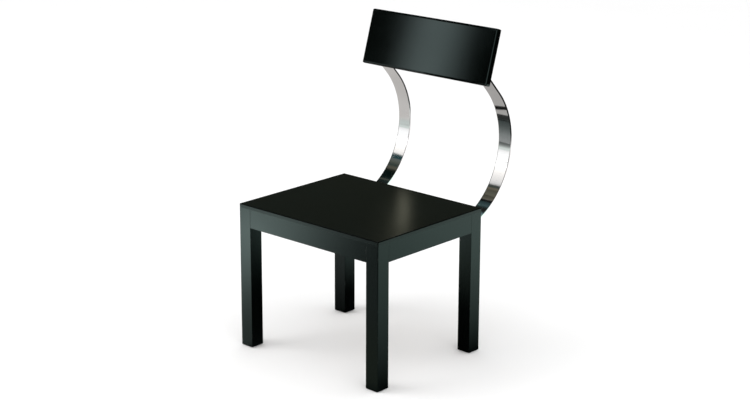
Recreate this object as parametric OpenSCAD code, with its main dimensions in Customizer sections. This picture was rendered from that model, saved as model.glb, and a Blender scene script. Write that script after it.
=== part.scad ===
// Dining chair: a square lacquered seat frame on four legs, with a leaning back panel that is
// carried only by two flat steel bands, which spring out from under the seat in a wide bow.
// Millimetres. Z is up, the floor is z = 0 and the sitter faces -Y. X = 0 is the middle, and
// Y = 0 is midway between the front of the seat and the furthest point of the bows.

/* [Seat] */
// Width of the seat, side to side
seat_w = 500; // [440:1:560]
// Depth of the seat, front to back
seat_d = 408; // [370:1:460]
// Height of the seat's top above the floor
seat_h = 402; // [360:1:480]
// Thickness of the seat board
board_t = 10; // [9:0.5:16]
// Rounding of the seat board's edges and of the legs' outer corners
edge_r = 2; // [1:0.5:4]

/* [Legs and aprons] */
// Side of the square legs
leg_w = 41; // [38:1:50]
// Height of the aprons below the seat board
apron_h = 52; // [48:1:80]
// Thickness of the aprons
apron_t = 20; // [18:1:24]
// Small rounding of the legs' other edges and of the aprons' lower edges
arris_r = 1; // [0.5:0.1:1.5]
// Diameter of the feet's glides
glide_d = 28; // [20:1:34]
// Thickness of the glides under the legs
glide_t = 2; // [1.5:0.5:5]
// Diameter of a glide's stem
glide_stem_d = 8; // [6:0.5:10]
// Length of a glide's stem inside the leg
glide_stem_l = 14; // [8:1:25]

/* [Joints of the frame] */
// Diameter of the dowels
dowel_d = 8; // [6:0.5:10]
// Length of the dowels between aprons and legs
dowel_l = 30; // [20:1:34]
// Length of the dowels that hold the spring rail and the bearer
short_dowel_l = 24; // [16:1:26]
// Distance of the dowels from the upper and lower edge of what they join
dowel_edge = 13; // [10:0.5:16]
// Reach of a front corner block along the aprons, from the outside corner
block_reach = 110; // [104:1:130]
// Distance of a corner block's seat screw from the seat's two outer faces
corner_screw_in = 55; // [48:1:58]
// Distance of a corner block's side screws from the block's ends
block_screw_end = 23; // [22:1:28]
// Height of the corner blocks and of the bearer
block_h = 45; // [38:1:48]
// Thickness of the bearer under the middle of the seat
bearer_t = 20; // [18:1:30]
// Diameter of the wood screws
screw_d = 4; // [3.5:0.1:5]
// Diameter of the wood screws' heads
screw_head_d = 8; // [7:0.5:10]
// Height of the wood screws' heads
screw_head_h = 2.6; // [2:0.1:3.5]
// Length of the screws under the head that hold the seat board
seat_screw_l = 30; // [24:1:34]
// Depth of the seat screws in the board
seat_screw_bite = 7; // [5:0.5:8]
// Length of the screws under the head that hold the corner blocks
block_screw_l = 30; // [25:1:36]
// Depth of the corner block screws in the aprons
block_screw_bite = 12; // [8:0.5:14]

/* [Spring rail] */
// Depth of the rail that the bands are bolted to
rail_d = 80; // [78:1:110]
// Distance of the seat screws in the rail and the bearer from the middle
seat_screw_x = 110; // [80:1:130]
// Distance of the rail's inner pair of rear dowels from the middle
rail_dowel_x = 60; // [40:1:80]
// Distance between the rail's inner and outer rear dowels
rail_dowel_step = 85; // [60:1:90]

/* [Steel bands] */
// Width of the steel bands
band_w = 42; // [34:1:50]
// Thickness of the steel bands
band_t = 4; // [3:0.5:6]
// Gap between a band and the rear leg beside it
band_leg_gap = 6; // [5:1:20]
// Inner radius of the large bow
bow_r = 204; // [180:1:230]
// Distance of the bow's centre in front of the back of the seat
bow_setback = 23.4; // [15:0.1:24]
// Angle above the horizontal at which the bow runs straight
bow_end = 43; // [38:0.5:48]
// Length of the straight stretch between the bow and the upper bend
rise_l = 68; // [60:1:80]
// Inner radius of the upper bend, which turns the band up along the panel
bend_r = 28; // [22:1:34]
// Length of the flat end under the seat
lower_tab_l = 72; // [68:1:76]
// Length of the flat end on the back of the panel
upper_tab_l = 75; // [65:1:85]
// Rounding of the corners at the bands' ends
tab_corner_r = 4; // [2:0.5:8]
// Thickness of the pad between band and rail
pad_t = 1.5; // [1.5:0.1:3]

/* [Back panel] */
// How far the back panel reaches past the bands' outer edges
panel_reach = 20; // [15:1:40]
// Height of the back panel, along its slope
panel_h = 154.5; // [144:0.5:190]
// Thickness of the back panel
panel_t = 20; // [18:0.5:26]
// Lean of the back panel from the vertical
panel_lean = 17; // [10:0.1:24]
// How far the middle of the panel bows forward of its ends
panel_bow = 4.5; // [2:0.5:8]
// Rounding of the panel's edges
panel_edge_r = 6; // [2:0.5:7]
// Rounding of the panel's four corners, seen from the front
panel_corner_r = 8; // [4:0.5:12]
// Height of the upper bend's end above the panel's lower edge
tab_rise = 49; // [44:1:54]
// Depth to which the bands are let into the back of the panel
let_in = 3; // [2:0.25:4]

/* [Bolts] */
// Thread diameter of the bolts under the seat
seat_bolt_d = 8; // [6:1:8]
// Length of the bolts under the seat, under the head
seat_bolt_l = 24; // [20:1:28]
// Distance of the first bolt from the band's end
bolt_edge = 18; // [15:1:20]
// Distance between a band's two bolts under the seat
bolt_pitch = 36; // [28:1:36]
// Diameter of the washers under the bolt heads
washer_d = 16; // [14:0.5:20]
// Thickness of the washers
washer_t = 1.6; // [1:0.1:2.5]
// Diameter of the threaded inserts in the rail
rail_insert_d = 12; // [11:0.5:14]
// Length of the threaded inserts in the rail
rail_insert_l = 20; // [18:1:26]
// Thread diameter of the screws in the back panel
panel_bolt_d = 6; // [5:1:6]
// Length of the screws in the back panel, under the head
panel_bolt_l = 14; // [12:0.5:15]
// Distance of the first panel screw above the upper bend
panel_bolt_rise = 18; // [16:1:22]
// Distance between a band's two panel screws
panel_bolt_pitch = 38; // [30:1:38]
// Diameter of the threaded inserts in the back panel
panel_insert_d = 9; // [8.5:0.5:11]
// Length of the threaded inserts in the back panel
panel_insert_l = 12; // [10:0.5:13]

/* [Clearances] */
// Radial clearance of dowels, inserts, screws and stems in their holes
hole_fit = 0.1; // [0.05:0.05:0.2]
// Gap between a rail, bearer or block and the parts that it slides in between
slip_fit = 0.1; // [0.05:0.05:0.3]
// Radial clearance of the bolts in the bands and pads
bolt_fit = 0.4; // [0.2:0.1:0.6]
// Gap round the bands where they are let into the panel
pocket_fit = 0.3; // [0.2:0.1:0.6]

/* [Hidden] */
facets = 64;
band_facets = 360;
panel_facets = 2880;
$fn = facets;

LEFT = -1;
RIGHT = 1;
FRONT = -1;
REAR = 1;
BLACK = [0.07, 0.08, 0.08];
BEECH = [0.80, 0.64, 0.44];
STEEL = [0.76, 0.78, 0.80];
ZINC = [0.62, 0.64, 0.66];
PLASTIC = [0.12, 0.12, 0.13];
// How far a cut runs past the face that it opens
over = 1;
// How far a straight form reaches into the round one that it meets
lap = 0.1;
// How far a form is kept off the faces of another that it would almost coincide with
hair = 0.01;
// Room beyond the end of a dowel, screw or insert in its blind hole
end_room = 0.5;
// A domed socket screw, in shares of its thread: width and height of the head, and its socket
dome_width = 1.75;
dome_height = 0.55;
dome_rim = 0.98;
socket_width = 0.72;
socket_depth = 0.6;

// Levels and planes of the seat
board_z = seat_h - board_t;
rail_z = board_z - apron_h;
block_z = board_z - block_h;
total_d = seat_d + bow_r + band_t - bow_setback;
front_y = -total_d / 2;
back_y = front_y + seat_d;
inner_x = seat_w / 2 - apron_t;
rail_front_y = back_y - apron_t - rail_d;
bearer_y = (front_y + apron_t + rail_front_y) / 2;
rail_screw_y = rail_front_y + rail_d / 2;

// Distance of the bands' middle from the middle of the seat
band_x = seat_w / 2 - leg_w - band_leg_gap - band_w / 2;

// Centre of the bow, and the middle line of a band in the plane seen from the side, measured
// from that centre: [back, up]
bow_y = back_y - bow_setback;
bow_z = rail_z - pad_t + bow_r;
bow_mid = bow_r + band_t / 2;
bend_mid = bend_r + band_t / 2;
bow_top = bow_mid * [cos(bow_end), sin(bow_end)];
rise_top = bow_top + rise_l * [-sin(bow_end), cos(bow_end)];
bend_centre = rise_top + bend_mid * [cos(bow_end), sin(bow_end)];
tab_start = bend_centre - bend_mid * [cos(panel_lean), -sin(panel_lean)];
tab_end = tab_start + upper_tab_l * [sin(panel_lean), cos(panel_lean)];

// Width and curve of the panel, whose centre is behind it, and its place against the bands'
// upper ends
panel_w = 2 * (band_x + band_w / 2 + panel_reach);
panel_r = (panel_w * panel_w / 4 + panel_bow * panel_bow) / (2 * panel_bow);
panel_half = asin(panel_w / 2 / panel_r);
panel_spare = 0.1;
back_r = panel_r - panel_t;
function bow_at(x) = back_r - sqrt(back_r * back_r - x * x);
tab_front = -band_t / 2;
panel_y = tab_front + let_in - bow_at(band_x) - panel_t;
pocket_depth = let_in + bow_at(band_x + band_w / 2) - bow_at(band_x) + pocket_fit;
bend_outer = bend_r + band_t;
pocket_drop = sqrt(pow(bend_outer, 2) - pow(bend_outer - pocket_depth, 2)) + pocket_fit;

// Square or oblong with its first corner at the origin and its own rounding at each corner
module eased_rect(size, radii) {
    corners = [[0, 0], [size[0], 0], size, [0, size[1]]];
    difference() {
        square(size);
        for (i = [0:3])
            translate(corners[i])
                rotate(i * 90)
                    corner_waste(radii[i]);
    }
}

// What a rounding of radius r takes off the corner at the origin
module corner_waste(r) {
    difference() {
        translate([-over, -over])
            square(r + over);
        translate([r, r])
            circle(r);
    }
}

// Rod of radius r from the origin along a direction given as a turn
module rod(turn, r, l) {
    rotate(turn)
        cylinder(r = r, h = l);
}

// Rod that is centred on the origin, for dowels and their holes
module centred_rod(turn, r, l) {
    rotate(turn)
        cylinder(r = r, h = l, center = true);
}

// Board with its lower corner at the origin, whose upper edges and upright corners are rounded
module eased_board(w, d, t, r) {
    linear_extrude(t - r)
        eased_rect([w, d], [r, r, r, r]);
    translate([r, r, t - r])
        linear_extrude(r)
            square([w - 2 * r, d - 2 * r]);
    for (x = [r, w - r]) {
        translate([x, r, t - r])
            rod([-90, 0, 0], r, d - 2 * r);
        for (y = [r, d - r])
            translate([x, y, t - r])
                sphere(r);
    }
    for (y = [r, d - r])
        translate([r, y, t - r])
            rod([0, 90, 0], r, w - 2 * r);
}

// Wood screw with its tip up and the underside of its head at the origin
module wood_screw(l) {
    cylinder(d = screw_d, h = l - screw_d);
    translate([0, 0, l - screw_d])
        cylinder(d1 = screw_d, d2 = screw_d / 4, h = screw_d);
    translate([0, 0, -screw_head_h])
        cylinder(d = screw_head_d, h = screw_head_h);
}

// Hole for the shank of a wood screw
module pilot_hole(l) {
    cylinder(r = screw_d / 2 + hole_fit, h = l + end_room);
}

// Hole for a wood screw, with a wide mouth of length l_mouth below the head's seat
module screw_hole(l, l_mouth) {
    pilot_hole(l);
    translate([0, 0, -l_mouth])
        cylinder(r = screw_head_d / 2 + hole_fit, h = l_mouth);
}

// Socket screw with a domed head below the origin and its shank above
module domed_screw(d, l) {
    head_r = d * dome_width / 2;
    head_h = d * dome_height;
    dome_r = (head_r * head_r + head_h * head_h) / (2 * head_h);
    difference() {
        union() {
            cylinder(d = d, h = l);
            intersection() {
                translate([0, 0, dome_r - head_h])
                    sphere(dome_r);
                translate([0, 0, -head_h])
                    cylinder(r = head_r * dome_rim, h = head_h);
            }
        }
        translate([0, 0, -head_h - over])
            cylinder(d = d * socket_width, h = head_h * socket_depth + over, $fn = 6);
    }
}

// Threaded insert that fills its hole upwards from the origin
module insert(d, bore, l) {
    difference() {
        cylinder(d = d, h = l);
        translate([0, 0, -over])
            cylinder(r = bore / 2 + hole_fit / 2, h = l + 2 * over);
    }
}

// Places of the seat screws: one in each corner block, two in the bearer and three in the rail
module at_seat_screws(block = true, bearer = true, rail = true) {
    z = board_z + seat_screw_bite - seat_screw_l;
    if (block)
        for (side = [LEFT, RIGHT])
            translate([side * (seat_w / 2 - corner_screw_in), front_y + corner_screw_in, z])
                children();
    if (bearer)
        for (side = [LEFT, RIGHT])
            translate([side * seat_screw_x, bearer_y, z])
                children();
    if (rail)
        for (x = [-seat_screw_x, 0, seat_screw_x])
            translate([x, rail_screw_y, z])
                children();
}

// Heights of the two dowels at the end of a part that hangs from z_low to the board
module at_dowel_heights(z_low) {
    for (z = [z_low + dowel_edge, board_z - dowel_edge])
        translate([0, 0, z])
            children();
}

// Dowels or dowel holes between the aprons and the legs
module apron_dowel_rods(r, l) {
    at_dowel_heights(rail_z)
        for (side = [LEFT, RIGHT], end = [FRONT, REAR]) {
            seat_y = (front_y + back_y) / 2;
            translate([side * (seat_w / 2 - leg_w), seat_y + end * (seat_d - apron_t) / 2, 0])
                centred_rod([0, 90, 0], r, l);
            translate([side * (seat_w - apron_t) / 2, seat_y + end * (seat_d / 2 - leg_w), 0])
                centred_rod([90, 0, 0], r, l);
        }
}

// Dowels or dowel holes between the bearer and the side aprons
module bearer_dowel_rods(r, l) {
    at_dowel_heights(block_z)
        for (side = [LEFT, RIGHT])
            translate([side * inner_x, bearer_y, 0])
                centred_rod([0, 90, 0], r, l);
}

// Dowels or dowel holes that hold the spring rail to the rear apron and the side aprons
module rail_dowel_rods(r, l) {
    for (side = [LEFT, RIGHT]) {
        for (x = [rail_dowel_x, rail_dowel_x + rail_dowel_step])
            translate([side * x, back_y - apron_t, rail_z + apron_h / 2])
                centred_rod([90, 0, 0], r, l);
        for (z = [rail_z + dowel_edge, board_z - dowel_edge])
            translate([side * inner_x, rail_screw_y - dowel_edge, z])
                centred_rod([0, 90, 0], r, l);
    }
}

// Screws or screw holes of the corner blocks, one into each apron
module at_block_screws() {
    along = block_reach - block_screw_end;
    in = apron_t + block_screw_l - block_screw_bite;
    low = block_z + dowel_edge;
    high = board_z - dowel_edge;
    for (side = [LEFT, RIGHT]) {
        translate([side * (seat_w / 2 - along), front_y + in, low])
            rotate([90, 0, 0])
                children();
        translate([side * (seat_w / 2 - in), front_y + along, high])
            rotate([0, side * 90, 0])
                children();
    }
}

module seat_board() {
    color(BLACK)
        difference() {
            translate([-seat_w / 2, front_y, board_z])
                eased_board(seat_w, seat_d, board_t, edge_r);
            at_seat_screws()
                pilot_hole(seat_screw_l);
        }
}

// A leg's section has its outer corner at the origin
module leg(side, end) {
    outer_y = end == FRONT ? front_y : back_y;
    color(BLACK)
        difference() {
            translate([side * seat_w / 2, outer_y, glide_t])
                mirror([side == RIGHT ? 1 : 0, 0, 0])
                    mirror([0, end == REAR ? 1 : 0, 0])
                        linear_extrude(board_z - glide_t)
                            eased_rect([leg_w, leg_w], [edge_r, arris_r, arris_r, arris_r]);
            apron_dowel_rods(dowel_d / 2 + hole_fit, dowel_l + 2 * end_room);
            at_foot(side, end)
                cylinder(r = glide_stem_d / 2 + hole_fit, h = glide_t + glide_stem_l + end_room);
        }
}

module at_foot(side, end) {
    outer_y = end == FRONT ? front_y : back_y;
    translate([side * (seat_w - leg_w) / 2, outer_y - end * leg_w / 2, 0])
        children();
}

module foot_glide(side, end) {
    bevel = glide_t / 3;
    color(PLASTIC)
        at_foot(side, end) {
            cylinder(d1 = glide_d - 2 * bevel, d2 = glide_d, h = bevel);
            translate([0, 0, bevel])
                cylinder(d = glide_d, h = glide_t - bevel);
            cylinder(d = glide_stem_d, h = glide_t + glide_stem_l);
        }
}

// Upright section of an apron, outer face at x = 0, with its two lower edges rounded
module apron_bar(l) {
    rotate([90, 0, 90])
        linear_extrude(l)
            eased_rect([apron_t, apron_h], [arris_r, arris_r, 0, 0]);
}

module cross_apron(end) {
    l = seat_w - 2 * leg_w;
    color(BLACK)
        difference() {
            translate([-l / 2, end == FRONT ? front_y : back_y - apron_t, rail_z])
                apron_bar(l);
            apron_dowel_rods(dowel_d / 2 + hole_fit, dowel_l + 2 * end_room);
            rail_dowel_rods(dowel_d / 2 + hole_fit, short_dowel_l + 2 * end_room);
            at_block_screws()
                pilot_hole(block_screw_l);
        }
}

module side_apron(side) {
    l = seat_d - 2 * leg_w;
    color(BLACK)
        difference() {
            translate([side == LEFT ? apron_t - seat_w / 2 : seat_w / 2, front_y + leg_w, rail_z])
                rotate([0, 0, 90])
                    apron_bar(l);
            apron_dowel_rods(dowel_d / 2 + hole_fit, dowel_l + 2 * end_room);
            rail_dowel_rods(dowel_d / 2 + hole_fit, short_dowel_l + 2 * end_room);
            bearer_dowel_rods(dowel_d / 2 + hole_fit, short_dowel_l + 2 * end_room);
            at_block_screws()
                pilot_hole(block_screw_l);
        }
}

module apron_dowels() {
    color(BEECH)
        apron_dowel_rods(dowel_d / 2, dowel_l);
}

// Front corner block, cut round the leg
module corner_block(side) {
    a = apron_t + slip_fit;
    b = leg_w + slip_fit;
    c = block_reach;
    color(BEECH)
        difference() {
            translate([side * seat_w / 2, front_y, block_z])
                mirror([side == RIGHT ? 1 : 0, 0, 0])
                    linear_extrude(block_h)
                        polygon([[b, a], [c, a], [a, c], [a, b], [b, b]]);
            at_seat_screws(bearer = false, rail = false)
                screw_hole(seat_screw_l, block_h);
            at_block_screws()
                screw_hole(block_screw_l, block_reach);
        }
}

module corner_block_screws() {
    color(ZINC)
        at_block_screws()
            wood_screw(block_screw_l);
}

module seat_bearer() {
    l = 2 * (inner_x - slip_fit);
    color(BEECH)
        difference() {
            translate([-l / 2, bearer_y - bearer_t / 2, block_z])
                cube([l, bearer_t, block_h]);
            bearer_dowel_rods(dowel_d / 2 + hole_fit, short_dowel_l + 2 * end_room);
            at_seat_screws(block = false, rail = false)
                screw_hole(seat_screw_l, block_h);
        }
}

module bearer_dowels() {
    color(BEECH)
        bearer_dowel_rods(dowel_d / 2, short_dowel_l);
}

// Places of the bolts that hold the bands' lower ends, at the underside of the rail
module at_seat_bolts() {
    for (side = [LEFT, RIGHT], step = [0, bolt_pitch])
        translate([side * band_x, bow_y - lower_tab_l + bolt_edge + step, rail_z])
            children();
}

// Cross rail that fills the space behind the rear apron and is cut out round the rear legs
module spring_rail() {
    l = 2 * (inner_x - slip_fit);
    notch = leg_w - apron_t + slip_fit;
    color(BEECH)
        difference() {
            translate([-l / 2, rail_front_y + slip_fit, rail_z])
                cube([l, rail_d - 2 * slip_fit, apron_h]);
            for (side = [LEFT, RIGHT])
                translate([side * inner_x, back_y - apron_t, rail_z + apron_h / 2])
                    cube([2 * notch, 2 * notch, apron_h + 2 * over], center = true);
            rail_dowel_rods(dowel_d / 2 + hole_fit, short_dowel_l + 2 * end_room);
            at_seat_screws(block = false, bearer = false)
                screw_hole(seat_screw_l, apron_h);
            at_seat_bolts()
                translate([0, 0, -over])
                    cylinder(r = rail_insert_d / 2 + hole_fit, h = over + rail_insert_l + end_room);
        }
}

module rail_dowels() {
    color(BEECH)
        rail_dowel_rods(dowel_d / 2, short_dowel_l);
}

module seat_board_screws() {
    color(ZINC)
        at_seat_screws()
            wood_screw(seat_screw_l);
}

module rail_inserts() {
    color(ZINC)
        at_seat_bolts()
            insert(rail_insert_d, seat_bolt_d, rail_insert_l);
}

module band_pads() {
    color(PLASTIC)
        difference() {
            for (side = [LEFT, RIGHT])
                translate([side * band_x - band_w / 2, bow_y - lower_tab_l, rail_z - pad_t])
                    cube([band_w, lower_tab_l, pad_t]);
            at_seat_bolts()
                translate([0, 0, -pad_t - over])
                    cylinder(r = seat_bolt_d / 2 + bolt_fit, h = pad_t + 2 * over);
        }
}

// Part of a band's ring, with the inner radius r, that lies between the lines y = 0 of the frame
// turned by angle from and of the frame turned by angle to, on the first one's +y side
module band_ring(r, from, to) {
    reach = r + band_t + over;
    difference() {
        circle(r + band_t, $fn = band_facets);
        circle(r, $fn = band_facets);
        rotate(from)
            translate([-reach, -reach])
                square([2 * reach, reach]);
        rotate(to)
            translate([-reach, 0])
                square([2 * reach, reach]);
    }
}

// Straight stretch of a band along y, with its outer face at x = band_t. It reaches a little into
// the arcs at its ends and is a hair thinner than they are, so no faces almost coincide.
module band_stretch(l, before = lap, after = lap) {
    translate([hair, -before])
        square([band_t - 2 * hair, l + before + after]);
}

// A band seen from the side, x backwards and y up from the bow's centre
module band_side() {
    turn = bow_end + panel_lean;
    band_ring(bow_r, -90, bow_end);
    rotate(-90)
        translate([bow_r, -lower_tab_l])
            band_stretch(lower_tab_l, before = 0);
    rotate(bow_end)
        translate([bow_r, 0]) {
            band_stretch(rise_l);
            translate([band_t + bend_r, rise_l]) {
                band_ring(bend_r, 0, -turn);
                rotate(-turn)
                    translate([-bend_r - band_t, 0])
                        band_stretch(upper_tab_l, after = 0);
            }
        }
}

// Waste at the two corners of a band's end that lies at y = 0, with the band on its -y side
module end_corners() {
    for (side = [LEFT, RIGHT])
        translate([0, 0, side * band_w / 2])
            rotate([0, 90, 0])
                linear_extrude(2 * band_t, center = true)
                    rotate(side == RIGHT ? -90 : 180)
                        translate([-hair, -hair])
                            corner_waste(tab_corner_r);
}

// A whole band with its width along z
module band_strip() {
    difference() {
        linear_extrude(band_w, center = true)
            band_side();
        translate([-lower_tab_l, -bow_mid, 0])
            rotate([0, 0, 90])
                end_corners();
        translate([tab_end[0], tab_end[1], 0])
            rotate([0, 0, -panel_lean])
                end_corners();
    }
}

// Places of the screws in the panel, pointing forwards from the back face of the bands' ends
module at_panel_screws() {
    at_tabs()
        for (step = [0, panel_bolt_pitch])
            translate([0, band_t / 2, panel_bolt_rise + step])
                rotate([90, 0, 0])
                    children();
}

// The start of each band's upper end, with z up its slope and y square to it, backwards
module at_tabs() {
    for (side = [LEFT, RIGHT])
        translate([side * band_x, 0, 0])
            at_tab_line()
                children();
}

module at_tab_line() {
    translate([0, bow_y + tab_start[0], bow_z + tab_start[1]])
        rotate([-panel_lean, 0, 0])
            children();
}

module spring_band(side) {
    color(STEEL)
        difference() {
            translate([side * band_x, bow_y, bow_z])
                rotate([90, 0, 90])
                    band_strip();
            at_seat_bolts()
                translate([0, 0, -pad_t - band_t - over])
                    cylinder(r = seat_bolt_d / 2 + bolt_fit, h = band_t + 2 * over);
            at_panel_screws()
                translate([0, 0, -over])
                    cylinder(r = panel_bolt_d / 2 + bolt_fit, h = band_t + 2 * over);
        }
}

module seat_bolt_washers() {
    color(ZINC)
        at_seat_bolts()
            translate([0, 0, -pad_t - band_t - washer_t])
                difference() {
                    cylinder(d = washer_d, h = washer_t);
                    translate([0, 0, -over])
                        cylinder(r = seat_bolt_d / 2 + hole_fit, h = washer_t + 2 * over);
                }
}

module seat_bolts() {
    color(ZINC)
        at_seat_bolts()
            translate([0, 0, -pad_t - band_t - washer_t])
                domed_screw(seat_bolt_d, seat_bolt_l);
}

// The panel's cross-section, front face at the largest x, with its long edges rounded
module panel_section() {
    r = panel_edge_r;
    translate([back_r, 0])
        eased_rect([panel_t, panel_h], [r, r, r, r]);
}

// What is cut away beyond an end of the panel, on its +y side, to leave rounded upright edges
module panel_end_waste() {
    r = panel_edge_r;
    translate([back_r, 0, -over])
        linear_extrude(panel_h + 2 * over)
            difference() {
                translate([-over, -r])
                    square([panel_t + 2 * over, panel_w / 2]);
                translate([-hair, -2 * r])
                    eased_rect([panel_t + 2 * hair, 2 * r], [0, 0, r, r]);
            }
}

// A block that holds the panel, with the rounded corners of the panel as seen from the front
module panel_outline() {
    r = panel_corner_r;
    translate([back_r - panel_bow - over, -panel_w / 2 - hair, -hair])
        rotate([90, 0, 90])
            linear_extrude(panel_bow + panel_t + 2 * over)
                eased_rect([panel_w + 2 * hair, panel_h + 2 * hair], [r, r, r, r]);
}

// The curved board with the middle of its front face at y = 0 and its lower edge at z = 0
module panel_board() {
    translate([0, panel_r, 0])
        rotate([0, 0, -90])
            intersection() {
                difference() {
                    rotate([0, 0, -panel_half - panel_spare])
                        rotate_extrude(angle = 2 * (panel_half + panel_spare), $fn = panel_facets)
                            panel_section($fn = facets);
                    for (side = [LEFT, RIGHT])
                        mirror([0, side == LEFT ? 1 : 0, 0])
                            rotate([0, 0, panel_half])
                                panel_end_waste();
                }
                panel_outline();
            }
}

module back_panel() {
    pocket_w = band_w + 2 * pocket_fit;
    color(BLACK)
        difference() {
            at_tab_line()
                translate([0, panel_y, -tab_rise])
                    panel_board();
            at_tabs()
                translate([-pocket_w / 2, tab_front, -pocket_drop])
                    cube([pocket_w, panel_t, pocket_drop + upper_tab_l + pocket_fit]);
            at_panel_screws()
                cylinder(r = panel_insert_d / 2 + hole_fit, h = band_t + panel_insert_l + end_room);
        }
}

module panel_inserts() {
    color(ZINC)
        at_panel_screws()
            translate([0, 0, band_t])
                insert(panel_insert_d, panel_bolt_d, panel_insert_l);
}

module panel_screws() {
    color(STEEL)
        at_panel_screws()
            domed_screw(panel_bolt_d, panel_bolt_l);
}

seat_board();
leg(LEFT, FRONT);  // leg_front_left
leg(RIGHT, FRONT);  // leg_front_right
leg(LEFT, REAR);  // leg_rear_left
leg(RIGHT, REAR);  // leg_rear_right
cross_apron(FRONT);  // apron_front
cross_apron(REAR);  // apron_rear
side_apron(LEFT);  // apron_left
side_apron(RIGHT);  // apron_right
apron_dowels();
corner_block(LEFT);  // corner_block_left
corner_block(RIGHT);  // corner_block_right
corner_block_screws();
seat_bearer();
bearer_dowels();
spring_rail();
rail_dowels();
seat_board_screws();
foot_glide(LEFT, FRONT);  // foot_glide_front_left
foot_glide(RIGHT, FRONT);  // foot_glide_front_right
foot_glide(LEFT, REAR);  // foot_glide_rear_left
foot_glide(RIGHT, REAR);  // foot_glide_rear_right
rail_inserts();
band_pads();
spring_band(LEFT);  // spring_band_left
spring_band(RIGHT);  // spring_band_right
seat_bolt_washers();
seat_bolts();
back_panel();
panel_inserts();
panel_screws();
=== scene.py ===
import math

import bpy
from mathutils import Matrix, Vector


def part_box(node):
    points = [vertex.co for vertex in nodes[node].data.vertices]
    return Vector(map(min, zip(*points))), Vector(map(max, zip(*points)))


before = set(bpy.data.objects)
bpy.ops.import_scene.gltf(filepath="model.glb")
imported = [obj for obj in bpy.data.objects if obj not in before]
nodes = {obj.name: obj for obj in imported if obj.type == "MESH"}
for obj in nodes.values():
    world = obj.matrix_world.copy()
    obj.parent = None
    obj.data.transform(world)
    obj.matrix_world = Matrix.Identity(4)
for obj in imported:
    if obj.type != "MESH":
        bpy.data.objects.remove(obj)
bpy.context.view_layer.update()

# ---------------------------------------------------------------- shader graph helpers


class Paint:
    """A material with one Principled shader, whose nodes are added by short calls."""

    def __init__(self, name, **sockets):
        self.material = bpy.data.materials.new(name)
        self.material.use_nodes = True
        self.tree = self.material.node_tree
        self.shader = self.tree.nodes["Principled BSDF"]
        for socket, value in sockets.items():
            self.shader.inputs[socket.replace("_", " ")].default_value = value
        self.place = self.add("TexCoord").outputs["Object"]

    def add(self, kind, inputs=(), **settings):
        """New node. inputs gives its sockets, by name or number, a value or a link each."""
        node = self.tree.nodes.new("ShaderNode" + kind)
        for key, value in settings.items():
            setattr(node, key, value)
        for key, value in dict(inputs).items():
            if isinstance(value, bpy.types.NodeSocket):
                self.tree.links.new(value, node.inputs[key])
            else:
                node.inputs[key].default_value = value
        return node

    def set(self, **sockets):
        for socket, value in sockets.items():
            self.tree.links.new(value, self.shader.inputs[socket.replace("_", " ")])

    def math(self, operation, *values):
        return self.add("Math", enumerate(values), operation=operation).outputs[0]

    def span(self, value, low, high, to_low=0.0, to_high=1.0):
        """value as it goes from low to high, turned into to_low to to_high with soft ends."""
        inputs = {"Value": value, "From Min": low, "From Max": high,
                  "To Min": to_low, "To Max": to_high}
        return self.add("MapRange", inputs, interpolation_type="SMOOTHSTEP").outputs[0]

    def blend(self, share, first, second):
        """Number that goes from first to second as share goes from 0 to 1."""
        return self.add("Mix", {0: share, 2: first, 3: second}, data_type="FLOAT").outputs[0]

    def mixed(self, share, first, second):
        """Colour that goes from first to second as share goes from 0 to 1."""
        node = self.add("Mix", data_type="RGBA")
        for index, value in ((0, share), (6, first), (7, second)):
            if isinstance(value, bpy.types.NodeSocket):
                self.tree.links.new(value, node.inputs[index])
            else:
                node.inputs[index].default_value = value if index == 0 else (*value, 1.0)
        return node.outputs[2]

    def xyz(self, place):
        return self.add("SeparateXYZ", {"Vector": place}).outputs

    def moved(self, scale=(1, 1, 1), turn=(0, 0, 0), shift=(0, 0, 0), kind="POINT"):
        inputs = {"Vector": self.place, "Location": shift, "Rotation": turn, "Scale": scale}
        return self.add("Mapping", inputs, vector_type=kind).outputs[0]

    def shifted(self, place, by):
        return self.add("VectorMath", {0: place, 1: by}, operation="ADD").outputs[0]

    def dot(self, place, direction):
        """How far a place lies along a direction."""
        node = self.add("VectorMath", {0: place, 1: direction}, operation="DOT_PRODUCT")
        return node.outputs["Value"]

    def noise(self, scale, detail=2.0, place=None, distortion=0.0):
        inputs = {"Vector": place or self.place, "Scale": scale, "Detail": detail,
                  "Distortion": distortion}
        return self.add("TexNoise", inputs).outputs[0]

    def mirrored(self, times=1):
        """1 in rays that gloss has mirrored this often or more, 0 in the others."""
        depth = self.add("LightPath").outputs["Glossy Depth"]
        return self.math("GREATER_THAN", depth, times - 0.5)

    def bump(self, *layers):
        """Chain of bumps, each a height from 0 to 1 with its full depth in metres."""
        normal = None
        for height, depth in layers:
            inputs = {"Height": height, "Distance": depth, "Strength": 1.0}
            if normal is not None:
                inputs["Normal"] = normal
            normal = self.add("Bump", inputs).outputs[0]
        self.set(Normal=normal)

    def edge_gap(self, place, low, high):
        """Distance from a point on a box's surface to the nearest edge of that box."""
        gaps = []
        for part, a, b in zip(self.xyz(place), low, high):
            off = self.math("ABSOLUTE", self.math("SUBTRACT", part, (a + b) / 2))
            gaps.append(self.math("SUBTRACT", (b - a) / 2, off))
        first = self.math("MINIMUM", gaps[0], gaps[1])
        rest = self.math("MAXIMUM", gaps[0], gaps[1])
        return self.math("MAXIMUM", first, self.math("MINIMUM", rest, gaps[2]))


def dress(node_names, material):
    for name in node_names:
        mesh = nodes[name].data
        mesh.materials.clear()
        mesh.materials.append(material)


# ---------------------------------------------------------------- materials

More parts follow.
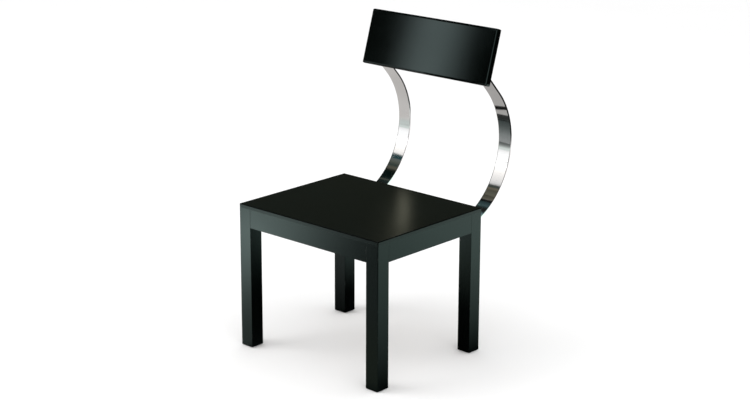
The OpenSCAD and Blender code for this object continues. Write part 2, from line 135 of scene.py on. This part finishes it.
LACQUER = (0.0003, 0.0006, 0.0005)
WORN = (0.012, 0.011, 0.009)
SHEEN = (0.735, 1.0, 0.98)
BLACK = (0.0, 0.0, 0.0)
SEAT_IN_STEEL = 2.57  # times the seat board's sheen in rays that gloss has mirrored: a painted brighter reflection of the seat board in the bands
SEAT_ROUGH, FRAME_ROUGH, PANEL_ROUGH = 0.30, 0.21, 0.08


def lacquer(name, low, high, seed, roughness, level=0.35, straighten=None, eased=False):
    """Sprayed black lacquer: faint waves, orange peel, fine dust, and edges that are rubbed.
    low and high are the corners of the piece, in the frame that straighten gives if it is named.
    eased lets the lacquer fall away at the edges of the top, paints shade there as a thin dark line
    without reflection, and paints a brighter reflection of the board in rays that gloss has
    mirrored."""
    p = Paint(name, Specular_IOR_Level=level, Specular_Tint=(*SHEEN, 1.0))
    place = straighten(p) if straighten else p.place
    drift = p.shifted(place, (seed * 1.7, seed * 0.9, seed * 2.3))
    cloud = p.noise(7.0, 3.0, drift)
    grit = p.noise(900.0, 2.0, drift)
    peel = p.noise(420.0, 1.0, drift)
    wave = p.noise(26.0, 1.0, drift)
    dust = p.span(p.noise(310.0, 0.0, drift), 0.76, 0.82)
    gap = p.edge_gap(place, low, high)
    touched = p.span(p.noise(60.0, 3.0, drift), 0.52, 0.70)
    rub = p.math("MULTIPLY", p.span(gap, 0.0020, 0.0004), touched)
    tone = p.mixed(p.span(cloud, 0.3, 0.7), LACQUER, [c * 1.3 for c in LACQUER])
    p.set(Base_Color=p.mixed(p.math("MULTIPLY", rub, 0.7), tone, WORN))
    cloudy = p.span(cloud, 0.3, 0.7, roughness - 0.012, roughness + 0.012)
    rough = p.math("ADD", cloudy, p.span(grit, 0.3, 0.7, -0.008, 0.008))
    rough = p.math("ADD", rough, p.math("MULTIPLY", rub, 0.15))
    p.set(Roughness=p.math("ADD", rough, p.math("MULTIPLY", dust, 0.05)))
    layers = [(wave, 0.00002), (peel, 0.000002), (dust, 0.000004)]
    if eased:
        top = p.span(p.xyz(place)[2], high[2] - 0.0006, high[2] - 0.0002)
        layers.insert(0, (p.math("MULTIPLY", top, p.span(gap, 0.0, 0.0024)), 0.0006))
        # Painted reflection: the board's sheen is raised in rays that gloss has mirrored, so the
        # bands mirror it brighter. Painted shade: its reflection is switched off in a thin dark
        # line along the top edges.
        sheen_and_painted_reflection = p.mixed(p.mirrored(), SHEEN, [c * SEAT_IN_STEEL for c in SHEEN])
        p.set(Specular_Tint=p.mixed(p.span(gap, 0.0012, 0.0026), BLACK, sheen_and_painted_reflection))
    p.bump(*layers)
    return p.material


def beech(name, along):
    """Planed beech with its grain along one axis: 0 for x, 1 for y, 2 for z."""
    p = Paint(name, Specular_IOR_Level=0.35)
    squeeze = [22.0, 22.0, 22.0]
    squeeze[along] = 1.6
    fibre = [260.0, 260.0, 260.0]
    fibre[along] = 9.0
    bands = p.noise(1.0, 4.0, p.moved(scale=squeeze), 1.2)
    fine = p.noise(1.0, 3.0, p.moved(scale=fibre))
    flecks = p.span(p.noise(1.0, 1.0, p.moved(scale=[c * 1.6 for c in fibre])), 0.60, 0.68)
    tone = p.mixed(p.span(bands, 0.3, 0.7), (0.66, 0.46, 0.27), (0.50, 0.32, 0.17))
    tone = p.mixed(p.span(fine, 0.4, 0.8, 0.0, 0.35), tone, (0.34, 0.20, 0.10))
    p.set(Base_Color=p.mixed(p.math("MULTIPLY", flecks, 0.5), tone, (0.26, 0.14, 0.07)))
    p.set(Roughness=p.span(fine, 0.2, 0.8, 0.55, 0.72))
    p.bump((fine, 0.00006), (flecks, 0.00003))
    return p.material


def polished_steel(name, seed, strip=None):
    """Polished spring steel: faint lines along the strip, light smears and a few fine scratches.
    In rays that gloss has mirrored its colour is dimmer and warmer, a painted reflection, so the
    lacquer mirrors it dimmer and warmer than it shows itself. strip is the middle and the half
    width of a band in x, whose long edges are then eased."""
    p = Paint(name, Metallic=1.0)
    drift = p.moved(shift=(seed, seed * 0.3, 0.0))
    lines = p.noise(1.0, 3.0, p.moved(scale=(2600.0, 30.0, 30.0), shift=(seed, 0.0, 0.0)))
    smear = p.noise(14.0, 3.0, drift, 0.8)
    haze = p.noise(3.0, 2.0, drift)
    scratches = p.noise(1.0, 0.0, p.moved(scale=(90.0, 700.0, 520.0), turn=(0.2, 0.5, 0.3)))
    mark = p.span(scratches, 0.72, 0.80)
    wave = p.noise(11.0, 1.0, drift)
    seen = p.mixed(p.span(haze, 0.3, 0.7), (0.73, 0.735, 0.74), (0.78, 0.78, 0.78))
    # Painted reflection: rays that gloss has mirrored get a dimmer, warmer colour than the one the
    # steel shows
    p.set(Base_Color=p.mixed(p.mirrored(), seen, (0.55, 0.53, 0.40)))
    smeared = p.span(smear, 0.35, 0.75, 0.04, 0.075)
    rough = p.math("ADD", smeared, p.math("MULTIPLY", mark, 0.06))
    p.set(Roughness=p.math("ADD", rough, p.span(lines, 0.3, 0.7, -0.008, 0.012)))
    layers = [(wave, 0.00008), (lines, 0.0000012), (mark, 0.0000015)]
    if strip:
        middle, half_width = strip
        off = p.math("ABSOLUTE", p.math("SUBTRACT", p.xyz(p.place)[0], middle))
        gap = p.math("SUBTRACT", half_width, off)
        layers.append((p.span(gap, -0.0004, 0.0016), 0.0004))
    p.bump(*layers)
    return p.material


def zinc(name):
    """Zinc-plated steel, dull, with its slight spangle."""
    p = Paint(name, Metallic=1.0)
    spangle = p.add("TexVoronoi", {"Vector": p.place, "Scale": 700.0}).outputs["Color"]
    haze = p.noise(160.0, 2.0)
    p.set(Base_Color=p.mixed(p.span(spangle, 0.0, 1.0), (0.50, 0.51, 0.52), (0.63, 0.64, 0.64)))
    p.set(Roughness=p.span(haze, 0.3, 0.7, 0.26, 0.40))
    p.bump((haze, 0.000008))
    return p.material


def plastic(name):
    """Moulded black plastic with a fine spark grain."""
    p = Paint(name, Specular_IOR_Level=0.45)
    grain = p.noise(1400.0, 2.0)
    scuff = p.noise(90.0, 4.0)
    p.set(Base_Color=p.mixed(p.span(scuff, 0.5, 0.7), (0.018, 0.018, 0.019), (0.045, 0.044, 0.042)))
    p.set(Roughness=p.span(scuff, 0.4, 0.7, 0.42, 0.62))
    p.bump((grain, 0.00002))
    return p.material


# The back panel's own frame: the middle of its front's lower edge, its lean, sizes and bow
PANEL_FOOT = (0.0, 0.15047, 0.72153)
PANEL_LEAN = math.radians(17.0)
PANEL_W, PANEL_H, PANEL_T = 0.446, 0.1545, 0.020
PANEL_RADIUS = 5.5277


def panel_frame(p):
    """Coordinates that follow the leaning, bowed panel: front at y = 0, lower edge at z = 0."""
    x, y, z = p.xyz(p.moved(shift=PANEL_FOOT, turn=(-PANEL_LEAN, 0.0, 0.0), kind="TEXTURE"))
    bow = p.math("DIVIDE", p.math("MULTIPLY", x, x), 2 * PANEL_RADIUS)
    return p.add("CombineXYZ", {0: x, 1: p.math("SUBTRACT", y, bow), 2: z}).outputs[0]


LACQUERED = ["seat_board", "leg_front_left", "leg_front_right", "leg_rear_left", "leg_rear_right",
             "apron_front", "apron_rear", "apron_left", "apron_right"]
for number, name in enumerate(LACQUERED):
    low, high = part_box(name)
    if name == "seat_board":
        low = (low[0], low[1], -high[2])  # its lower edges, close to the upper ones, don't count
        paint = lacquer("lacquer_" + name, low, high, number, SEAT_ROUGH, eased=True)
    else:
        paint = lacquer("lacquer_" + name, low, high, number, FRAME_ROUGH)
    dress([name], paint)
dress(["back_panel"],
      lacquer("lacquer_back_panel", (-PANEL_W / 2, 0.0, 0.0), (PANEL_W / 2, PANEL_T, PANEL_H),
              len(LACQUERED), PANEL_ROUGH, 0.25, panel_frame))
dress(["corner_block_left", "corner_block_right", "seat_bearer", "spring_rail"],
      beech("beech_across", 0))
dress(["apron_dowels", "bearer_dowels", "rail_dowels"], beech("beech_dowel", 1))
for seed, name in ((0.0, "spring_band_left"), (4.0, "spring_band_right")):
    low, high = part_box(name)
    strip = ((low[0] + high[0]) / 2, (high[0] - low[0]) / 2)
    dress([name], polished_steel("steel_" + name, seed, strip))
dress(["corner_block_screws", "seat_board_screws", "rail_inserts", "seat_bolt_washers",
       "seat_bolts", "panel_inserts"], zinc("zinc_fixings"))
dress(["panel_screws"], polished_steel("steel_screws", 9.0))
dress(["foot_glide_front_left", "foot_glide_front_right", "foot_glide_rear_left",
       "foot_glide_rear_right", "band_pads"], plastic("black_plastic"))

# ---------------------------------------------------------------- floor

FLOOR_HALF = 14.0
FLOOR_DROP = 0.0002  # keeps the floor clear of the feet

corners = [(x * FLOOR_HALF, y * FLOOR_HALF, -FLOOR_DROP)
           for x, y in ((-1, -1), (1, -1), (1, 1), (-1, 1))]
floor_mesh = bpy.data.meshes.new("floor")
floor_mesh.from_pydata(corners, [], [(0, 1, 2, 3)])
floor = bpy.data.objects.new("floor", floor_mesh)
bpy.context.scene.collection.objects.link(floor)

# The painted light and shade that the chair's gloss mirrors of the floor, in metres
POOL = (-1.015, -1.057)  # middle of the painted pool of light at the front left
POOL_LENGTH, POOL_WIDTH = 0.54, 0.222  # along and across the diagonal
POOL_LEVEL = 3.25
SEAT_HALF_X = 0.25
SEAT_MIDDLE_Y = -0.0923
SHADED_HALF_Y = 0.324
SHADED_EDGE = 0.9  # how far out the painted shade at the right goes
FAR_LEVEL = 0.82
DIAGONAL = 0.707


def mirrored_floor(p):
    """Painted light and shade of the floor as the chair's gloss mirrors it, tint and brightness: a
    painted pool of light at the left, painted shade in front, under the seat and close to the feet."""
    x, y, _ = p.xyz(p.place)

    # The painted pool of light at the front left, with its right side cut off
    off = p.shifted(p.place, (-POOL[0], -POOL[1], 0.0))
    along = p.dot(off, (DIAGONAL, DIAGONAL, 0.0))
    across = p.dot(off, (DIAGONAL, -DIAGONAL, 0.0))
    fall = p.math("ADD", p.math("POWER", p.math("DIVIDE", along, POOL_LENGTH), 2.0),
                  p.math("POWER", p.math("DIVIDE", across, POOL_WIDTH), 2.0))
    pool = p.math("MULTIPLY", p.math("EXPONENT", p.math("MULTIPLY", fall, -1.0)),
                  p.span(across, -0.26, -0.08, 0.0, POOL_LEVEL))

    # The left, with painted shade beside the left rear leg in the short rays that come from its
    # foot
    out_x = p.math("SUBTRACT", p.math("ABSOLUTE", x), SEAT_HALF_X)
    left = p.math("ADD", p.span(out_x, -0.06, 0.01, 0.0, 0.46), p.span(out_x, 0.1, 0.75, 0.0, 0.20))
    ray = p.add("LightPath").outputs["Ray Length"]
    shade = p.math("MULTIPLY", p.span(y, -0.30, 0.10, 0.0, 0.85), p.span(y, 0.2, 0.12))
    shade = p.math("MULTIPLY", shade, p.span(ray, 0.66, 0.56))
    left = p.math("MULTIPLY", left, p.math("SUBTRACT", 1.0, shade))

    # The right, painted lighter away from the chair and darker again far behind it
    off_y = p.math("ABSOLUTE", p.math("SUBTRACT", y, SEAT_MIDDLE_Y))
    out_y = p.math("SUBTRACT", off_y, SHADED_HALF_Y)
    out = p.math("DIVIDE", p.math("ADD", p.math("MAXIMUM", out_x, out_y), 0.005), SHADED_EDGE)
    out = p.math("MINIMUM", p.math("MAXIMUM", out, 0.0), 1.0)
    near = p.math("MULTIPLY", out, p.math("SUBTRACT", 2.0, out))
    side = p.math("SUBTRACT", y, p.math("MULTIPLY", x, 0.75))
    behind = p.dot(p.place, (0.62, 0.79, 0.0))
    right = p.math("MULTIPLY", near, p.span(side, -0.35, 0.3, 0.9, 1.45))
    right = p.math("MULTIPLY", right, p.span(behind, 1.7, 2.25, 1.0, 0.76))

    # The front right, in painted shade
    turned = p.span(x, -0.27, 0.27)
    diagonal = p.math("MULTIPLY", p.math("SUBTRACT", x, y), DIAGONAL)
    front = p.math("MULTIPLY", p.span(diagonal, 0.0, 0.32), p.span(y, -0.25, -0.36))
    level = p.blend(front, p.blend(turned, left, right), p.span(y, -1.15, -0.8, 0.08, 0.26))
    level = p.math("ADD", level, pool)

    # Painted lighter far away, but painted dark far behind the chair and past its left
    reach = p.add("VectorMath", {0: p.place}, operation="LENGTH").outputs["Value"]
    level = p.blend(p.span(reach, 1.8, 8.0), level, FAR_LEVEL)
    level = p.blend(p.span(behind, 2.35, 2.6), level, 0.015)
    past = p.dot(p.place, (-0.64, 0.77, 0.0))
    level = p.blend(p.span(past, 1.2, 2.0), level, 0.08)

    # The tint of the painted light: warm to greenish at the left, green at the right, paler behind
    cool = p.mixed(p.span(across, -0.25, -0.1), (1.0, 0.965, 0.935), (0.95, 1.035, 0.995))
    pale = p.math("MULTIPLY", p.span(side, 0.32, 0.5), p.span(behind, 1.4, 1.55))
    pale = p.math("MAXIMUM", pale, p.span(behind, 1.75, 1.95))
    tint = p.mixed(turned, cool, p.mixed(pale, (0.81, 1.0, 0.92), (1.0, 0.97, 0.97)))
    tint = p.mixed(p.math("MULTIPLY", front, p.span(y, -0.9, -0.4)), tint, (1.0, 1.08, 0.85))
    return tint, level


paper = Paint("pale_floor", Roughness=0.85, Specular_IOR_Level=0.15)
paper.set(Base_Color=paper.mixed(paper.noise(1.2, 3.0), (0.84, 0.84, 0.84), (0.87, 0.87, 0.87)))
# Glossy rays see a painted glow instead of the lit floor: the floor's painted light and shade as
# the chair mirrors it
tint, level = mirrored_floor(paper)
painted_floor_light = paper.add("Emission", {"Color": tint, "Strength": level})
glossy_ray = paper.add("LightPath").outputs["Is Glossy Ray"]
share = paper.add("MixShader", {0: glossy_ray, 1: paper.shader.outputs[0], 2: painted_floor_light.outputs[0]})
paper.tree.links.new(share.outputs[0], paper.tree.nodes["Material Output"].inputs["Surface"])
floor_mesh.materials.append(paper.material)

# ---------------------------------------------------------------- light

world = bpy.data.worlds.new("studio")
world.use_nodes = True
bpy.context.scene.world = world


class Sky(Paint):
    """The world's graph, with the same short calls. Turns and heights are in degrees: a turn of 0
    is the front and one of 90 the right."""

    def __init__(self, tree):
        self.tree = tree
        x, y, z = self.xyz(self.add("TexCoord").outputs["Generated"])
        self.height = self.math("MULTIPLY", self.math("ARCSINE", z), 180 / math.pi)
        turn = self.math("ARCTAN2", x, self.math("MULTIPLY", y, -1.0))
        self.turn = self.math("MULTIPLY", turn, 180 / math.pi)

    def ramp(self, value, *stops):
        """Colour by a number, from stops of (number, colour)."""
        first, last = stops[0][0], stops[-1][0]
        inputs = {"Value": value, "From Min": first, "From Max": last}
        ramp = self.add("ValToRGB", {0: self.add("MapRange", inputs).outputs[0]})
        elements = ramp.color_ramp.elements
        while len(elements) < len(stops):
            elements.new(0.5)
        for element, (at, _) in zip(elements, stops):
            element.position = (at - first) / (last - first)
        for element, (_, colour) in zip(elements, stops):
            element.color = (*colour, 1.0)
        return ramp.outputs[0]

    def card(self, turn, height, half_w, half_h, soft):
        """1 inside a soft-edged card in the sky, 0 outside."""
        off = self.math("ABSOLUTE", self.math("SUBTRACT", self.turn, turn))
        wide = self.span(off, half_w + soft, half_w - soft)
        off = self.math("ABSOLUTE", self.math("SUBTRACT", self.height, height))
        tall = self.span(off, half_h + soft, half_h - soft)
        return self.math("MULTIPLY", wide, tall)

    def strip(self):
        """Share of the tall lamp at the front left. It leans, and where the back panel mirrors it,
        at a height of about 14 degrees, it is a soft bell instead."""
        lean = self.span(self.height, 14.0, 40.0, 0.0, 4.2)
        off = self.math("ABSOLUTE", self.math("ADD", self.math("ADD", self.turn, 40.75), lean))
        outer = self.math("ADD", self.span(self.height, 9.0, 20.0, 5.8, 4.3),
                          self.span(self.height, 36.0, 39.0, 0.0, 2.0))
        sharp = self.span(off, outer, self.math("SUBTRACT", outer, 0.5))
        bell = self.span(self.math("ABSOLUTE", self.math("ADD", self.turn, 40.5)), 5.1, 0.3)
        waist = self.math("ABSOLUTE", self.math("SUBTRACT", self.height, 14.5))
        return self.blend(self.span(waist, 4.5, 3.0), sharp, bell)


def grey(level):
    return (level, level, level)


CEILING = (0.020, 0.019, 0.018)
DARK = (0.003, 0.003, 0.002)
SLATE = (0.22, 0.38, 0.40)
TEAL = (0.022, 0.060, 0.066)
STUDIO = 1.16  # what all other rays see of the world

sky = Sky(world.node_tree)
paths = sky.add("LightPath").outputs

# The room, and its darker part around the lamp, by height
room = sky.ramp(
    sky.height, (-6.0, grey(0.50)), (0.0, (0.46, 0.45, 0.44)), (7.0, (0.16, 0.155, 0.15)),
    (12.0, (0.035, 0.036, 0.030)), (17.0, (0.010, 0.012, 0.010)), (22.0, (0.010, 0.011, 0.009)),
    (90.0, CEILING))
rear = sky.ramp(
    sky.height, (-6.0, grey(0.02)), (5.0, grey(0.02)), (9.0, (0.082, 0.086, 0.056)),
    (15.5, (0.082, 0.086, 0.052)), (18.0, DARK), (24.0, DARK), (90.0, CEILING))
room = sky.mixed(sky.card(-40.0, 40.0, 66.0, 60.0, 6.0), rear, room)

# A bright card that the rounded right edge of the panel mirrors
room = sky.mixed(sky.card(25.0, 14.0, 20.0, 9.0, 6.0), room, grey(1.9))

# The left corner: windows by turn below a sloping border, shelves by height above it
window = sky.ramp(
    sky.turn, (-96.0, (0.008, 0.010, 0.008)), (-89.2, (0.008, 0.010, 0.008)),
    (-87.8, (0.105, 0.105, 0.080)), (-86.2, (0.105, 0.105, 0.080)), (-84.6, (0.004, 0.009, 0.008)),
    (-72.0, (0.002, 0.007, 0.006)), (-67.5, (0.008, 0.012, 0.009)), (-65.5, (0.04, 0.043, 0.034)),
    (-63.5, (0.105, 0.10, 0.075)), (-61.5, (0.10, 0.10, 0.077)), (-59.3, (0.042, 0.058, 0.050)),
    (-57.5, (0.055, 0.070, 0.060)), (-55.0, (0.104, 0.116, 0.096)), (-52.0, (0.13, 0.150, 0.143)),
    (-51.0, TEAL), (-47.0, TEAL), (-30.0, (0.03, 0.03, 0.03)))
shelves = sky.ramp(
    sky.height, (36.0, (0.115, 0.110, 0.085)), (39.5, (0.115, 0.110, 0.085)),
    (41.0, (0.050, 0.064, 0.058)), (42.3, (0.060, 0.070, 0.060)), (43.5, (0.175, 0.155, 0.115)),
    (45.5, (0.085, 0.082, 0.062)), (48.0, (0.120, 0.118, 0.092)), (49.8, (0.150, 0.140, 0.105)),
    (50.6, (0.075, 0.074, 0.058)), (52.0, (0.140, 0.130, 0.100)))
shelves = sky.mixed(sky.span(sky.turn, -76.0, -79.0), shelves, (0.020, 0.036, 0.034))
border = sky.math("ADD", sky.math("MULTIPLY", sky.turn, -0.843), -6.8)
border = sky.math("MINIMUM", border, 50.0)
above = sky.span(sky.math("SUBTRACT", sky.height, border), -0.6, 0.6)
corner = sky.card(-70.0, 46.0, 26.0, 18.0, 3.0)
room = sky.mixed(corner, room, sky.mixed(above, window, shelves))

# A soft card at the right, a slate one behind, and one that only rays mirrored twice see: it is
# in the seat's highlight, where the seat mirrors a band
room = sky.mixed(sky.card(55.0, 34.0, 26.0, 14.0, 8.0), room, grey(0.55))
room = sky.mixed(sky.card(-130.0, 43.0, 22.0, 8.0, 5.0), room, SLATE)
card = sky.math("MULTIPLY", sky.card(-43.0, 31.0, 15.0, 9.0, 5.0), sky.mirrored(2))
room = sky.mixed(card, room, grey(1.3))

# The tall lamp, by height
lamp = sky.ramp(
    sky.height, (-5.0, grey(0.8)), (-1.8, grey(1.0)), (0.6, grey(1.2)), (3.0, grey(1.32)),
    (9.5, grey(1.35)), (11.5, grey(3.6)), (17.5, grey(3.6)), (19.5, (1.55, 1.5, 1.46)),
    (24.0, (1.39, 1.35, 1.31)), (30.0, (1.15, 1.12, 1.09)), (34.7, (1.01, 0.99, 0.97)),
    (38.0, (0.85, 0.84, 0.83)), (39.6, grey(0.50)), (41.0, grey(0.15)), (42.0, grey(0.02)))
room = sky.mixed(sky.math("MULTIPLY", sky.strip(), sky.span(sky.height, 42.5, 41.0)), room, lamp)

lit = sky.mixed(paths["Is Glossy Ray"], grey(STUDIO), room)
world.node_tree.links.new(lit, world.node_tree.nodes["Background"].inputs["Color"])


def soft_light(name, place, aim, size, power):
    """Square lamp that only matt surfaces see."""
    data = bpy.data.lights.new(name, "AREA")
    data.shape = "SQUARE"
    data.size = size
    data.energy = power
    light = bpy.data.objects.new(name, data)
    light.location = place
    light.rotation_euler = (Vector(aim) - Vector(place)).to_track_quat("-Z", "Y").to_euler()
    light.visible_glossy = False
    bpy.context.scene.collection.objects.link(light)


AIM = (0.0, 0.0, 0.3)
soft_light("key", (-2.4, -2.6, 3.4), AIM, 2.6, 60.0)
soft_light("fill", (3.0, -1.2, 2.8), AIM, 3.0, 25.0)

# ---------------------------------------------------------------- camera

CAMERA_PLACE = (2.97765, -3.30988, 1.72001)
CAMERA_AZ, CAMERA_EL, CAMERA_ROLL = (math.radians(a) for a in (42.2669, 15.3028, 0.1977))
FOCAL_PX, MIDDLE_PX = 1720.34, (375.0, 162.5)
FRAME_W, FRAME_H = 750, 400

right = Vector((math.cos(CAMERA_AZ), math.sin(CAMERA_AZ), 0.0))
back = Vector((math.sin(CAMERA_AZ) * math.cos(CAMERA_EL),
               -math.cos(CAMERA_AZ) * math.cos(CAMERA_EL), math.sin(CAMERA_EL)))
up = back.cross(right)
roll = Matrix.Rotation(CAMERA_ROLL, 3, "Z")
pose = (Matrix((right, up, back)).transposed() @ roll).to_4x4()
pose.translation = CAMERA_PLACE
camera_data = bpy.data.cameras.new("camera")
camera_data.sensor_width = 36.0
camera_data.lens = FOCAL_PX * camera_data.sensor_width / FRAME_W
camera_data.shift_x = (FRAME_W / 2 - MIDDLE_PX[0]) / FRAME_W
camera_data.shift_y = (MIDDLE_PX[1] - FRAME_H / 2) / FRAME_W
camera_data.clip_end = 200.0
camera = bpy.data.objects.new("camera", camera_data)
camera.matrix_world = pose
bpy.context.scene.collection.objects.link(camera)
bpy.context.scene.camera = camera
bpy.context.scene.view_settings.view_transform = "Standard"
